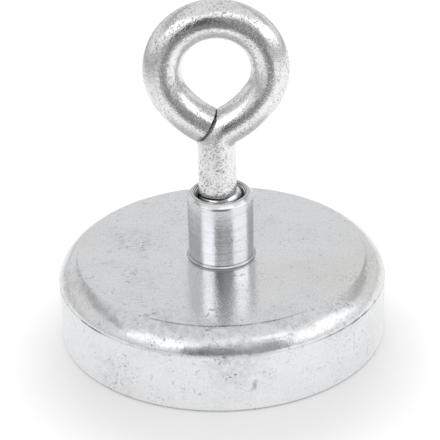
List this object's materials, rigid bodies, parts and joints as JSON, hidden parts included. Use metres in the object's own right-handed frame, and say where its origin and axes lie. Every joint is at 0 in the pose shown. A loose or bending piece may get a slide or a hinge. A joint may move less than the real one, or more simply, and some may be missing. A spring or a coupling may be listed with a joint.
{
  "type": "pot magnet",
  "caption": "Round flat pot magnet with a central threaded bush and a bent eye bolt screwed into it.",
  "frame": {"origin": "centre of the cup's rim plane, the face that sticks to steel", "axes": "+Z from the magnet face to the eye along the bush's axis; the eye lies in the XZ plane and its hole runs along Y"},
  "size_m": [0.075, 0.075, 0.0813],
  "materials": {
    "cup_steel": "bright zinc plated, lightly scratched",
    "bush_steel": "turned and zinc plated",
    "bolt_steel": "zinc plated bent bar, mottled and pitted",
    "magnet_face": "satin nickel plated magnet",
    "resin": "cast resin, satin"
  },
  "bodies": {
    "root": {"cup": "cup_steel", "threaded_bush": "bush_steel", "eye_bolt": "bolt_steel", "magnet_disc": "magnet_face", "potting_ring": "resin"}
  },
  "joints": []
}
